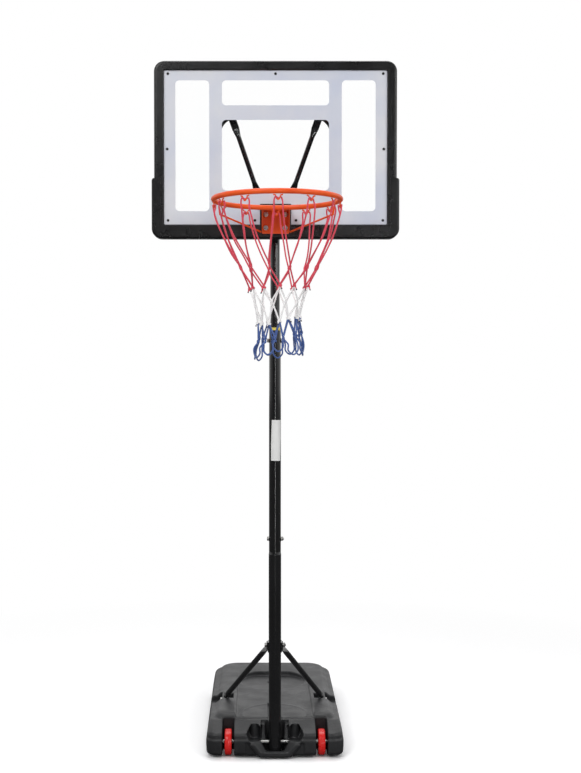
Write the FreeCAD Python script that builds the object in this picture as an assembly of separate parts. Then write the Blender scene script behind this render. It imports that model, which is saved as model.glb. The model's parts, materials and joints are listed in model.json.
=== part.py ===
"""Portable basketball hoop: a ballast tank on two wheels, a three-section pole held by two struts,
and a backboard with a rim and net that slides up and down on the pole.

Frame: origin on the floor under the pole's axis, +Z up, -Y towards the player, +X to the right
of somebody who looks along +Y at the board. Millimetres throughout.
"""
import FreeCAD, Part
import math
import os

V = FreeCAD.Vector
X, Y, Z = V(1, 0, 0), V(0, 1, 0), V(0, 0, 1)
FIT = 0.08          # radial running clearance between parts that move
LOOSE = 0.4         # radial clearance of a bolt in its hole
SEAT = 0.05         # gap between faces that are bolted together

# ---- driving dimensions ----
AXLE_Z, AXLE_R = 46.0, 4.0
WHEEL_R, WHEEL_W, WHEEL_X = 43.0, 23.0, 158.0

TANK_FRONT, TANK_BACK, TANK_HALF_W = -45.0, 765.0, 233.0
SHOULDER_Z, DECK_Z, RAIL_Z = 108.0, 112.0, 122.0
RAIL_OUT, RAIL_IN = 187.0, 133.0          # a rail runs along each side between these
TANK_WALL = 4.0
GROOVE_Y, GROOVE_HALF, GROOVE_Z = 284.0, 42.0, 84.0
DISH_Y, DISH_R, DISH_BACK, DISH_DEPTH = 508.0, 124.0, 614.0, 10.0
RING_Y, RING_R = 97.0, 112.0
NECK_R, NECK_Y, CAP_R, CAP_FOOT = 14.0, 508.0, 18.0, 102.0
SHELF_Z, LIP_Z, LIP_Y = 52.0, 25.0, -30.0       # the shelf and the front lip round the pole's foot
LEDGE_Z = 62.0                                  # the outer wall steps in above this
SLOT_HALF_W, SLOT_BACK, SLOT_Z = 23.0, 222.0, 101.0     # the deck's slot behind the pole

LOWER_R, MIDDLE_R, TOP_R, POLE_WALL = 21.0, 20.0, 16.0, 1.5
POLE_FOOT, LOWER_TOP, MIDDLE_TOP, TOP_TOP = 8.0, 694.0, 1441.0, 1885.0
SWAGE_R, SWAGE_LEN = 18.4, 100.0
TOP_FOOT = 1082.0
COLLAR_LEN = 9.0
JOINT_BOLT_Z, HEIGHT_BOLT_Z = 738.0, 1407.0
HEIGHT_PITCH, HEIGHT_HOLES = 75.0, 7
STRUT_BOLT_Y, STRUT_BOLT_Z = 33.0, 369.0
BOLT_R = 4.0

STRUT_R, ARM_R = 9.5, 8.0
STRUT_FOOT = V(177.0, 290.0, 104.0)
BRACKET_BOLT_Z = (1800.0, 1855.0)
EAR_X, EAR_Y, EAR_Z, EAR_R = 51.0, 20.0, 1886.0, 13.0          # lugs that the arms' feet bolt to

BOARD_FRONT, BOARD_DEPTH = -94.0, 38.0
BOARD_BACK = BOARD_FRONT + BOARD_DEPTH
BOARD_TOP, BOARD_FOOT, BOARD_HALF_W = 2320.0, 1740.0, 398.0
GUARD_HALF_W, GUARD_TOP, GUARD_WALL = 406.0, 1937.0, 4.0
OPEN_HALF_W, OPEN_TOP, OPEN_FOOT = 365.5, 2289.0, 1786.0      # the visible panel
PANEL_INSET, PANEL_T, PRINT_T = 9.0, 3.0, 0.5
PANEL_MARGIN = 8.0                                            # hidden behind the frame's lip
WINDOW_R = 14.0
SIDE_WINDOW = (217.0, 328.0, 1830.0, 2257.0)                  # x from, x to, z from, z to
HIGH_WINDOW = (-175.5, 175.5, 2175.5, 2257.0)
MAIN_WINDOW = (-175.5, 175.5, 1898.0, 2128.0)
PAD_HALF_W, PAD_TOP = 50.5, 1853.0                            # solid pad behind the rim
BACK_HALF_W, BACK_TOP, BACK_FOOT = 334.0, 2272.0, 1822.0      # the frame's opening behind the panel
BAR_R, BAR_X, BAR_Z, BAR_BEND = 11.0, 190.0, 2146.0, 61.0     # bent tube across the board's back
BAR_Y, BAR_SOCKET = BOARD_BACK - 13.0, 22.0
ARM_TOP = V(146.0, BAR_Y + BAR_R + 2.0 + SEAT, BAR_Z)

RIM_Z, RIM_R, RIM_TUBE_R = 1828.0, 192.0, 8.0
RIM_Y = BOARD_FRONT - 290.0
PLATE_HALF_W, PLATE_FOOT, PLATE_T = 45.0, 1755.0, 4.0
RIM_BOLT_X, RIM_BOLT_Z = 31.5, (1818.0, 1774.0)
HOOKS, HOOK_WIRE_R = 12, 2.0

OUT = "parts"


# ---- shape helpers ----
def box(x0, x1, y0, y1, z0, z1):
    return Part.makeBox(x1 - x0, y1 - y0, z1 - z0, V(x0, y0, z0))


def rod(p, q, r):
    return Part.makeCylinder(r, (q - p).Length, p, q - p)


def pipe(p, q, outer, inner):
    return rod(p, q, outer).cut(rod(p, q, inner))


def x_rod(x0, x1, y, z, r):
    return rod(V(x0, y, z), V(x1, y, z), r)


def fuse(shapes):
    shapes = list(shapes)
    return shapes[0].multiFuse(shapes[1:]).removeSplitter() if len(shapes) > 1 else shapes[0]


def mirrored(shape):
    return shape.mirror(V(0, 0, 0), X)


def pair(shape):
    """A piece and its mirror image on the other side, as separate solids."""
    return Part.makeCompound([shape, mirrored(shape)])


def rounded(half_w, low, high, radii, at):
    """Closed outline with round corners. at(u, v) places a point; radii are for the corners
    (low left, low right, high right, high left)."""
    corners = [(-half_w, low), (half_w, low), (half_w, high), (-half_w, high)]
    return rounded_outline(corners, radii, at)


def rounded_outline(corners, radii, at):
    edges, starts, ends = [], [], []
    n = len(corners)
    for i, (u, v) in enumerate(corners):
        before, after = corners[i - 1], corners[(i + 1) % n]
        here = V(u, v, 0)
        a = (V(before[0], before[1], 0) - here).normalize()
        b = (V(after[0], after[1], 0) - here).normalize()
        half = a.getAngle(b) / 2
        r = radii[i]
        reach = r / math.tan(half)
        start, end = here + a * reach, here + b * reach
        mid = here + (a + b).normalize() * (r / math.sin(half) - r)
        starts.append(start)
        ends.append(end)
        edges.append(Part.Arc(at(start.x, start.y), at(mid.x, mid.y), at(end.x, end.y)).toShape())
    lines = []
    for i in range(n):
        p, q = ends[i], starts[(i + 1) % n]
        lines.append(Part.makeLine(at(p.x, p.y), at(q.x, q.y)))
    ordered = [e for two in zip(edges, lines) for e in two]
    return Part.Wire(ordered)


def upright(half_w, z0, z1, r, y0, y1, x_mid=0.0):
    """A slab that stands facing -Y, with all four corners rounded."""
    outline = rounded(half_w, z0, z1, [r] * 4, lambda u, v: V(u + x_mid, y0, v))
    return Part.Face(outline).extrude(V(0, y1 - y0, 0))


def window(spec, y0, y1, grow=0.0, r=WINDOW_R):
    x0, x1, z0, z1 = spec
    return upright((x1 - x0) / 2 + grow, z0 - grow, z1 + grow, r, y0, y1, (x0 + x1) / 2)


def bent_rod(points, r):
    """A round wire bent at each point between its ends."""
    runs = [rod(p, q, r) for p, q in zip(points, points[1:])]
    bends = [Part.makeSphere(r, p) for p in points[1:-1]]
    return fuse(runs + bends)


def hex_prism(centre, axis, flats, height):
    """A hexagon across flats, from centre along axis, with its corners turned down."""
    side = V(axis).cross(Z if abs(axis.z) < 0.9 else X).normalize()
    up = V(axis).cross(side).normalize()
    r = flats / math.sqrt(3)
    corners = [centre + side * (r * math.cos(a)) + up * (r * math.sin(a))
               for a in (math.radians(60 * k) for k in range(7))]
    prism = Part.Face(Part.makePolygon(corners)).extrude(V(axis) * height)
    cone = Part.makeCone(r + height * 0.55, r * 0.93, height, centre, axis)
    return prism.common(cone)


def bolt(seat, axis, length, r=BOLT_R, flats=13.0, head=5.3):
    """A hex bolt with a pressed washer. seat is under the head, and the shank runs along -axis."""
    washer = Part.makeCylinder(flats * 0.62, 1.4, seat, axis)
    cap = hex_prism(seat + V(axis) * 1.4, axis, flats, head)
    shank = Part.makeCylinder(r, length, seat - V(axis) * length, axis)
    return fuse([washer, cap, shank])


def nut(seat, axis, r=BOLT_R, flats=13.0, height=6.5):
    """A hex nut with its washer face on seat, threaded on a shank of radius r."""
    washer = Part.makeCylinder(flats * 0.66, 1.5, seat, axis)
    body = hex_prism(seat + V(axis) * 1.5, axis, flats, height)
    bore = Part.makeCylinder(r + FIT, height + 8, seat - V(axis) * 2, axis)
    return fuse([washer, body]).cut(bore)


def flat_end_tube(p, p_reach, q, q_reach, normal, r, tab_w, tab_t=4.0):
    """A round tube between two bolt holes at p and q, with each end pressed into a flat tab.
    Both tabs lie across normal, and reach past their holes before the tube turns round."""
    straight = (q - p).normalize()
    pieces, ends = [], []
    for point, reach, along in ((p, p_reach, straight), (q, q_reach, straight * -1)):
        t = (along - normal * along.dot(normal)).normalize()
        s = t.cross(normal).normalize()
        corner = point - s * (tab_w / 2) - normal * (tab_t / 2)
        plate = Part.Face(Part.makePolygon([
            corner, corner + s * tab_w, corner + s * tab_w + normal * tab_t,
            corner + normal * tab_t, corner])).extrude(t * reach)
        nose = Part.makeCylinder(tab_w / 2, tab_t, point - normal * (tab_t / 2), normal)
        pieces += [plate, nose]
        ends.append((point + t * reach, s))
    run = (ends[1][0] - ends[0][0]).normalize()
    press = r * 3.2
    a, b = ends[0][0] + run * press, ends[1][0] - run * press
    pieces.append(pipe(a, b, r, r - 1.2))
    for (centre, s), stop, away in ((ends[0], a, run), (ends[1], b, run * -1)):
        s2 = (s - away * s.dot(away)).normalize()
        n2 = away.cross(s2).normalize()
        if n2.dot(normal) < 0:
            n2 = n2 * -1
        rect = [centre + s * (i * tab_w / 2) + normal * (j * tab_t / 2)
                for i, j in ((1, 1), (-1, 1), (-1, -1), (1, -1), (1, 1))]
        round_edges = []
        for k in range(4):
            angles = [math.radians(45 + 90 * k + step) for step in (0, 45, 90)]
            pts = [stop + s2 * (r * math.cos(g)) + n2 * (r * math.sin(g)) for g in angles]
            round_edges.append(Part.Arc(*pts).toShape())
        pieces.append(Part.makeLoft([Part.makePolygon(rect), Part.Wire(round_edges)], True, True))
    body = fuse(pieces)
    for point in (p, q):
        body = body.cut(Part.makeCylinder(BOLT_R + LOOSE, 40, point - normal * 20, normal))
    return body


# ---- ballast tank ----
def tank_section(z, half_w, front, back, r_front, r_back):
    return rounded(half_w, front, back, [r_front, r_front, r_back, r_back], lambda u, v: V(u, v, z))


def tank_shell():
    """Outer skin: the wall is widest up to a small ledge, and the front slopes to the deck."""
    skin = [(0, 15, 52, 20), (5, 9, 28, 9), (12, 4, 8, 4), (20, 1, 1, 2), (40, 0, 0, 0), (LEDGE_Z, 0, 0, 0),
            (LEDGE_Z + 3, 3, 3.5, 2), (78, 3.5, 5, 2), (85, 4, 10, 4), (94, 6, 34, 7), (102, 8, 62, 10),
            (SHOULDER_Z, 13, 84, 16)]
    wires = [tank_section(z, TANK_HALF_W - side, TANK_FRONT + front, TANK_BACK - back,
                          max(36 - side, 22), 90 - side) for z, side, front, back in skin]
    body = Part.makeLoft(wires, True, True)
    crown = [(SHOULDER_Z - 12, -22, 0), (SHOULDER_Z + 2, -18, 3), (RAIL_Z - 3, -8, 8), (RAIL_Z, 0, 16)]
    wires = [tank_section(z, RAIL_OUT - side, 50 + 2 * front, TANK_BACK - 14 - front,
                          30, 56) for z, side, front in crown]
    plateau = Part.makeLoft(wires, True, True)
    return body.fuse(plateau)


def tank_deck(body):
    """The deck sunk between the rails, shallower towards the back, with a sloping D-shaped dish
    and a round moulded line in front."""
    front, back = 20.0, 690.0
    side = [V(0, front, RAIL_Z + 20), V(0, front, DECK_Z), V(0, DISH_Y - DISH_R, DECK_Z),
            V(0, back, RAIL_Z), V(0, back, RAIL_Z + 20)]
    wedge = Part.Face(Part.makePolygon(side + side[:1])).extrude(X * (2 * RAIL_IN))
    wedge.translate(V(-RAIL_IN, 0, 0))
    body = body.cut(wedge)
    low_y, high_y = DISH_Y - DISH_R, DISH_BACK
    side = [V(0, low_y, DECK_Z + 0.5), V(0, high_y, DECK_Z - DISH_DEPTH), V(0, high_y, 200), V(0, low_y, 200)]
    dish = Part.Face(Part.makePolygon(side + side[:1])).extrude(X * (2 * DISH_R))
    dish.translate(V(-DISH_R, 0, 0))
    body = body.cut(dish.common(Part.makeCylinder(DISH_R, 120, V(0, DISH_Y, DECK_Z - 30))))
    bead = Part.makeTorus(RING_R, 2.0, V(0, RING_Y, DECK_Z))
    return body.fuse(bead.common(box(-RAIL_IN, RAIL_IN, 60, 260, DECK_Z - 3, DECK_Z + 3)))


def wheel_wells():
    half = WHEEL_W / 2 + 8.5
    return [box(s * WHEEL_X - half, s * WHEEL_X + half, TANK_FRONT - 20, 58, -1, RAIL_Z + 20)
            for s in (-1, 1)]


def pole_well():
    """The recess for the pole's foot, narrower towards the floor, behind a bevelled V-shaped lip."""
    wide, narrow, floor = 47.0, 28.0, 3.5
    corners = [(-narrow, floor), (narrow, floor), (narrow + 6, LIP_Z), (wide, 38), (wide, 160),
               (-wide, 160), (-wide, 38), (-narrow - 6, LIP_Z)]
    outline = Part.makePolygon([V(x, LIP_Y, z) for x, z in corners + corners[:1]])
    well = Part.Face(outline).extrude(V(0, 74, 0))
    rings = []
    for y, low, high in ((TANK_FRONT - 12, 51.0, 96.0), (LIP_Y + 0.5, narrow, wide + 1)):
        notch = [(-low, LIP_Z), (low, LIP_Z), (high, 66), (high, 160), (-high, 160), (-high, 66)]
        rings.append(Part.makePolygon([V(x, y, z) for x, z in notch + notch[:1]]))
    slot = box(-SLOT_HALF_W, SLOT_HALF_W, LIP_Y + 60, SLOT_BACK, SLOT_Z, RAIL_Z + 20)
    return well.fuse(Part.makeLoft(rings, True, True)).fuse(slot)


def side_bays():
    """A dark bay on each side of the pole well, peaked over the round post left standing in it."""
    bays = []
    for s in (-1, 1):
        corners = [(47, SHELF_Z), (82, SHELF_Z), (96, 82), (88, 94), (72, 106), (47, 94)]
        outline = Part.makePolygon([V(s * x, -20, z) for x, z in corners + corners[:1]])
        bay = Part.Face(outline).extrude(V(0, 54, 0))
        front = [(46, SHELF_Z + 6), (85, SHELF_Z + 6), (96, 82), (88, 94), (72, 106), (46, 94)]
        outline = Part.makePolygon([V(s * x, -60, z) for x, z in front + front[:1]])
        bay = bay.fuse(Part.Face(outline).extrude(V(0, 60, 0)))
        bays.append(bay.cut(Part.makeCone(18, 15, 62, V(s * 70, 34, SHELF_Z - 1))))
    return bays


def chin():
    """The front wall's centre: a V-shaped lip that comes down to the floor."""
    corners = [(-51, 4), (51, 4), (57, 13), (88, SHELF_Z + 1), (-88, SHELF_Z + 1), (-57, 13)]
    outline = rounded_outline(corners, [8, 8, 6, 4, 4, 6], lambda u, v: V(u, TANK_FRONT - 6, v))
    lip = Part.Face(outline).extrude(V(0, 46, 0))
    slope = [V(-90, TANK_FRONT - 20, -1), V(-90, -22, -1), V(-90, -22, 0), V(-90, TANK_FRONT - 20, 13)]
    return lip.fuse(box(-51, 51, -26, 30, 0, 20)).cut(
        Part.Face(Part.makePolygon(slope + slope[:1])).extrude(X * 180))


def front_panels():
    """A shallow panel sunk in the lower front wall on each side of the chin."""
    panels = []
    for s in (-1, 1):
        x = sorted((s * 56, s * 99))
        panels.append(box(x[0], x[1], TANK_FRONT - 20, TANK_FRONT + 5, -1, 55))
    return panels


def groove(side):
    """The cross slot in a rail that gives a spanner room at the strut's foot bolt."""
    web, outer = STRUT_FOOT.x + 2.0 + SEAT, TANK_HALF_W + 20
    pocket = box(146, web, STRUT_FOOT.y - 36, STRUT_FOOT.y + 22, GROOVE_Z, RAIL_Z + 20)
    slot = box(web + 8, outer, GROOVE_Y - GROOVE_HALF, GROOVE_Y + GROOVE_HALF, GROOVE_Z, RAIL_Z + 20)
    both = pocket.fuse(slot)
    return both if side > 0 else mirrored(both)


def tank_cavity():
    """The room for water or sand."""
    w = TANK_WALL
    top = DECK_Z - DISH_DEPTH - w
    rings = [rounded(TANK_HALF_W - side, 64, TANK_BACK - side, [20, 20, 80, 80], lambda u, v, z=z: V(u, v, z))
             for z, side in ((w, 22), (14, 8), (84, 8), (top, 16))]
    blocks = [box(WHEEL_X + WHEEL_W / 2 + 13, TANK_HALF_W - 16, TANK_FRONT + 26, 66, 18, 74),
              box(103, WHEEL_X - WHEEL_W / 2 - 13, TANK_FRONT + 12, 66, 18, 74)]
    blocks.append(box(141, RAIL_OUT - 9, 94, TANK_BACK - 62, top - 6, RAIL_Z - w - 1))
    blocks.append(box(0, RAIL_IN - w, 66, DISH_Y - DISH_R - w, top - 6, DECK_Z - w))
    room = fuse([Part.makeLoft(rings, True, True)] + blocks + [mirrored(b) for b in blocks])
    keep = box(140, TANK_HALF_W + 10, GROOVE_Y - GROOVE_HALF - w, GROOVE_Y + GROOVE_HALF + w, GROOVE_Z - w, 200)
    slot = box(-SLOT_HALF_W - w, SLOT_HALF_W + w, 40, SLOT_BACK + w, SLOT_Z - w, 200)
    return room.cut(keep).cut(mirrored(keep)).cut(slot)


def base_tank():
    body = tank_deck(tank_shell())
    for cutter in wheel_wells() + side_bays() + front_panels() + [groove(1), groove(-1)]:
        body = body.cut(cutter)
    body = body.fuse(chin()).cut(pole_well())
    for s in (-1, 1):
        rib = [V(s * 34, 44, 98), V(s * 43, 44, 98), V(s * 47.5, 44, SHELF_Z - 8), V(s * 30, 44, SHELF_Z - 8)]
        wedge = Part.Face(Part.makePolygon(rib + rib[:1])).extrude(V(0, -60, 0))
        slope = [V(-90, 26, 100), V(-90, 8, SHELF_Z), V(-90, 8, 0), V(-90, -40, 0), V(-90, -40, 100)]
        body = body.fuse(wedge.cut(Part.Face(Part.makePolygon(slope + slope[:1])).extrude(X * 180)))
    body = body.cut(tank_cavity())
    neck = Part.makeCylinder(NECK_R + 5, 24, V(0, NECK_Y, DECK_Z - 28))
    bore = Part.makeCylinder(NECK_R, 60, V(0, NECK_Y, DECK_Z - 32))
    body = body.fuse(neck).cut(bore).cut(Part.makeCylinder(CAP_R + 4, 30, V(0, NECK_Y, CAP_FOOT)))
    reach = WHEEL_X + WHEEL_W / 2 + 30
    body = body.cut(x_rod(-reach, reach, 0, AXLE_Z, AXLE_R + 0.3))
    for s in (-1, 1):
        x = s * STRUT_FOOT.x
        body = body.cut(x_rod(min(x, x + s * 30), max(x, x + s * 30), STRUT_FOOT.y, STRUT_FOOT.z,
                              BOLT_R + LOOSE))
    return body.removeSplitter()


def filler_cap():
    """A knurled cap with a plug that seals in the tank's neck."""
    foot = CAP_FOOT + SEAT
    disc = Part.makeCylinder(CAP_R, 9, V(0, NECK_Y, foot))
    disc = disc.makeFillet(2, [e for e in disc.Edges if abs(e.BoundBox.ZMin - foot - 9) < 0.01
                               and abs(e.BoundBox.ZMax - foot - 9) < 0.01])
    notches = []
    for k in range(18):
        a = math.radians(20 * k)
        spot = V((CAP_R + 0.6) * math.cos(a), NECK_Y + (CAP_R + 0.6) * math.sin(a), foot - 1)
        notches.append(Part.makeCylinder(1.5, 12, spot))
    disc = disc.cut(Part.makeCompound(notches))
    plug = Part.makeCylinder(NECK_R - FIT, 16, V(0, NECK_Y, foot - 16))
    return fuse([disc, plug.cut(Part.makeCylinder(NECK_R - 3, 20, V(0, NECK_Y, foot - 20)))])


# ---- wheels and axle ----
def wheel(side):
    """A moulded wheel: a crowned tread, a thin web with spokes, and a hub on the axle."""
    half, hub_r, rim_r, web = WHEEL_W / 2, 11.0, WHEEL_R - 7, 3.0
    edge = [(AXLE_R + FIT, -half), (hub_r, -half), (hub_r + 1, -web), (rim_r, -web), (rim_r + 1, -half + 1),
            (WHEEL_R - 3, -half), (WHEEL_R - 0.6, -half + 3), (WHEEL_R, 0), (WHEEL_R - 0.6, half - 3),
            (WHEEL_R - 3, half), (rim_r + 1, half - 1), (rim_r, web), (hub_r + 1, web), (hub_r, half),
            (AXLE_R + FIT, half)]
    x_mid = side * WHEEL_X
    outline = Part.makePolygon([V(x_mid + t, 0, AXLE_Z + r) for r, t in edge + edge[:1]])
    body = Part.Face(outline).revolve(V(0, 0, AXLE_Z), X, 360)
    spokes = []
    for k in range(6):
        bar = box(x_mid - half + 2.5, x_mid + half - 2.5, -2, 2, AXLE_Z + hub_r - 1, AXLE_Z + rim_r + 1)
        spokes.append(bar.rotate(V(0, 0, AXLE_Z), X, 60 * k))
    return fuse([body] + spokes)


def axle_rod():
    reach = WHEEL_X + WHEEL_W / 2 + 20
    bar = x_rod(-reach, reach, 0, AXLE_Z, AXLE_R)
    return bar


def axle_caps():
    """Push-on caps that stop the wheels from moving along the axle."""
    caps = []
    for s in (-1, 1):
        for offset in (-1, 1):
            start = s * WHEEL_X + offset * (WHEEL_W / 2 + 1.0)
            cap = x_rod(min(start, start + offset * 3.5), max(start, start + offset * 3.5), 0, AXLE_Z, 7.5)
            caps.append(cap.cut(x_rod(start - 9, start + 9, 0, AXLE_Z, AXLE_R)))
    return Part.makeCompound(caps)


def foot_spacers():
    """Steel tubes on the axle that centre the pole's foot between the ribs."""
    start, end = LOWER_R + 0.5, 46.5
    ring = x_rod(start, end, 0, AXLE_Z, 5.2).cut(x_rod(start - 1, end + 1, 0, AXLE_Z, AXLE_R + 0.1))
    return pair(ring)


# ---- pole ----
def lower_pole():
    """The bottom section. Its top is drawn down to fit inside the middle section."""
    w = POLE_WALL
    top = LOWER_TOP + SWAGE_LEN
    edge = [(LOWER_R - w, POLE_FOOT), (LOWER_R, POLE_FOOT), (LOWER_R, LOWER_TOP - 9),
            (MIDDLE_R - 0.2, LOWER_TOP - 1), (SWAGE_R, LOWER_TOP - 1), (SWAGE_R, top),
            (SWAGE_R - w, top), (SWAGE_R - w, LOWER_TOP - 3), (LOWER_R - w, LOWER_TOP - 12)]
    outline = Part.makePolygon([V(r, 0, z) for r, z in edge + edge[:1]])
    tube = Part.Face(outline).revolve(V(0, 0, 0), Z, 360)
    tube = tube.cut(x_rod(-60, 60, 0, AXLE_Z, AXLE_R + 0.1))
    return tube.cut(x_rod(-60, 60, 0, JOINT_BOLT_Z, BOLT_R + LOOSE))


def middle_pole():
    tube = pipe(V(0, 0, LOWER_TOP), V(0, 0, MIDDLE_TOP), MIDDLE_R, MIDDLE_R - POLE_WALL)
    for z in (JOINT_BOLT_Z, HEIGHT_BOLT_Z):
        tube = tube.cut(x_rod(-60, 60, 0, z, BOLT_R + LOOSE))
    return tube


def top_pole():
    """The sliding section, drilled right through at each height step."""
    tube = pipe(V(0, 0, TOP_FOOT), V(0, 0, TOP_TOP), TOP_R, TOP_R - POLE_WALL)
    first = HEIGHT_BOLT_Z - HEIGHT_PITCH * (HEIGHT_HOLES // 2)
    holes = [first + HEIGHT_PITCH * k for k in range(HEIGHT_HOLES)]
    for z in holes + list(BRACKET_BOLT_Z):
        tube = tube.cut(x_rod(-60, 60, 0, z, BOLT_R + LOOSE))
    return tube


def height_collar():
    """A plastic bush in the middle section's mouth that guides the sliding section."""
    flange = rod(V(0, 0, MIDDLE_TOP), V(0, 0, MIDDLE_TOP + COLLAR_LEN), MIDDLE_R)
    sleeve = rod(V(0, 0, MIDDLE_TOP - 24), V(0, 0, MIDDLE_TOP), MIDDLE_R - POLE_WALL)
    bore = rod(V(0, 0, MIDDLE_TOP - 30), V(0, 0, MIDDLE_TOP + 30), TOP_R + FIT)
    return fuse([flange, sleeve]).cut(bore)


def foot_plug():
    plug = rod(V(0, 0, POLE_FOOT), V(0, 0, POLE_FOOT + 16), LOWER_R - POLE_WALL)
    cap = rod(V(0, 0, POLE_FOOT - 4), V(0, 0, POLE_FOOT), LOWER_R)
    return fuse([plug, cap])


def top_plug():
    cap = rod(V(0, 0, TOP_TOP), V(0, 0, TOP_TOP + 4), TOP_R)
    cap = cap.makeFillet(1.8, [e for e in cap.Edges if e.BoundBox.ZMin > TOP_TOP + 3.9])
    return fuse([rod(V(0, 0, TOP_TOP - 14), V(0, 0, TOP_TOP), TOP_R - POLE_WALL), cap])


def pole_label():
    """A plain white sticker wrapped part of the way round the middle section, a little crooked."""
    z0, z1, turn, skew = 1003.0, 1140.0, 108.0, 1.4
    skin = pipe(V(0, 0, z0 - 9), V(0, 0, z1 + 9), MIDDLE_R + 0.3, MIDDLE_R + 0.02)
    half = MIDDLE_R * math.sin(math.radians(turn / 2))
    card = box(-half, half, -MIDDLE_R - 5, -MIDDLE_R * math.cos(math.radians(turn / 2)), z0, z1)
    card.rotate(V(0, 0, (z0 + z1) / 2), Y, skew)
    card.rotate(V(0, 0, 0), Z, 13)
    return skin.common(card)


def cross_bolt(z, y=0.0, grip=MIDDLE_R, spare=10.0):
    """A bolt across the pole at height z with its head on the left."""
    return bolt(V(-grip - SEAT, y, z), X * -1, 2 * grip + spare)


def cross_nut(z, y=0.0, grip=MIDDLE_R):
    return nut(V(grip + SEAT, y, z), X)


# ---- struts ----
def strut_bracket():
    """A channel welded round the back of the lower section that the struts bolt to."""
    t, z0, z1 = 3.0, STRUT_BOLT_Z - 17, STRUT_BOLT_Z + 17
    cheek = box(LOWER_R + SEAT, LOWER_R + SEAT + t, -7, STRUT_BOLT_Y + 12, z0, z1)
    round_back = Part.makeCylinder(17, t, V(LOWER_R + SEAT, STRUT_BOLT_Y - 5, STRUT_BOLT_Z), X)
    cheek = cheek.common(box(0, 60, -7, STRUT_BOLT_Y - 5, z0, z1).fuse(round_back))
    web = box(-LOWER_R - 1, LOWER_R + 1, LOWER_R + SEAT, LOWER_R + SEAT + t, z0 + 4, z1 - 4)
    body = fuse([cheek, mirrored(cheek), web])
    return body.cut(x_rod(-60, 60, STRUT_BOLT_Y, STRUT_BOLT_Z, BOLT_R + LOOSE))


def strut(side):
    top = V(LOWER_R + 3 + 2 * SEAT + 2.0, STRUT_BOLT_Y, STRUT_BOLT_Z)
    body = flat_end_tube(top, 18.0, STRUT_FOOT, 18.0, X, STRUT_R, 25.0)
    return body if side > 0 else mirrored(body)


STRUT_GRIP = LOWER_R + 3 + 2 * SEAT + 4.0


def foot_bolt():
    """The bolt at a strut's foot, with its head in the groove."""
    return bolt(V(STRUT_FOOT.x + 2.0 + 8 + 2 * SEAT, STRUT_FOOT.y, STRUT_FOOT.z), X, 8 + 4 + 10)


def foot_nut():
    return nut(V(STRUT_FOOT.x - 2.0 - SEAT, STRUT_FOOT.y, STRUT_FOOT.z), X * -1)


# ---- backboard ----
def backboard_frame():
    """The moulded frame: a rounded border, a bevelled lip around the panel, and a pad for the rim."""
    front, back = BOARD_FRONT, BOARD_BACK
    slab = upright(BOARD_HALF_W, BOARD_FOOT + 4, BOARD_TOP, 34, front, back)
    slab = slab.makeFillet(9, edges_at(slab, front))
    slab = slab.makeFillet(4, edges_at(slab, back))
    bevel = [rounded(OPEN_HALF_W + grow, OPEN_FOOT - grow, OPEN_TOP + grow, [5 + grow] * 4,
                     lambda u, v, y=y: V(u, y, v)) for grow, y in ((4, front - 1), (0, front + 4.5))]
    body = slab.cut(Part.makeLoft(bevel, True, True))
    body = body.cut(upright(OPEN_HALF_W, OPEN_FOOT, OPEN_TOP, 5, front, front + PANEL_INSET))
    margin = PANEL_MARGIN + 1
    seat = upright(OPEN_HALF_W + margin, OPEN_FOOT - margin, OPEN_TOP + margin, 6,
                   front + PANEL_INSET - PRINT_T - 0.2, front + PANEL_INSET + PANEL_T + 0.2)
    body = body.cut(seat).cut(upright(BACK_HALF_W, BACK_FOOT, BACK_TOP, 18, front, back + 5))
    body = body.fuse(upright(PAD_HALF_W, OPEN_FOOT - 14, PAD_TOP, 2, front, back - 2))
    for side in (-1, 1):
        for z in RIM_BOLT_Z:
            hole = rod(V(side * RIM_BOLT_X, front - 5, z), V(side * RIM_BOLT_X, back + 5, z), BOLT_R + LOOSE)
            body = body.cut(hole)
        foot = V(side * BAR_X, BAR_Y, BACK_FOOT - BAR_SOCKET)
        body = body.cut(rod(foot, foot + Z * 60, BAR_R + SEAT))
    body = body.cut(back_cells())
    for x, z in SCREWS:
        body = body.cut(rod(V(x, front, z), V(x, front + PANEL_INSET + PANEL_T + 17, z), 2.1))
    return body.removeSplitter()


def back_cells():
    """Pockets in the back of the border, with ribs between them and bosses for the screws."""
    rib, depth = 3.0, 22.0
    y0, y1 = BOARD_BACK - depth, BOARD_BACK + 5
    runs = [(-390, 390, BACK_TOP + 4, BOARD_TOP - 4, 9, 1), (-390, 390, BOARD_FOOT + 8, BACK_FOOT - 4, 9, 1)]
    runs += [(x, x + 56, BACK_FOOT, BACK_TOP, 1, 5) for x in (-394, 338)]
    cells = []
    for x0, x1, z0, z1, across, up in runs:
        dx, dz = (x1 - x0) / across, (z1 - z0) / up
        for i in range(across):
            for j in range(up):
                cells.append(box(x0 + dx * i + rib / 2, x0 + dx * (i + 1) - rib / 2, y0, y1,
                                 z0 + dz * j + rib / 2, z0 + dz * (j + 1) - rib / 2))
    room = Part.makeCompound(cells).common(upright(BOARD_HALF_W - 4, BOARD_FOOT + 8, BOARD_TOP - 4, 30, y0, y1))
    keep = [rod(V(x, y0 - 1, z), V(x, y1, z), 6.0) for x, z in SCREWS]
    keep.append(box(-PAD_HALF_W - 4, PAD_HALF_W + 4, y0 - 1, y1, BOARD_FOOT, BACK_FOOT + 9))
    keep += [box(x - 16, x + 16, y0 - 1, y1, BACK_FOOT - BAR_SOCKET - 4, BACK_FOOT) for x in (-BAR_X, BAR_X)]
    return room.cut(Part.makeCompound(keep))


def edges_at(shape, y):
    """The edges that lie wholly in the plane at this y."""
    return [e for e in shape.Edges if abs(e.BoundBox.YMin - y) < 0.01 and abs(e.BoundBox.YMax - y) < 0.01]


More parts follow.
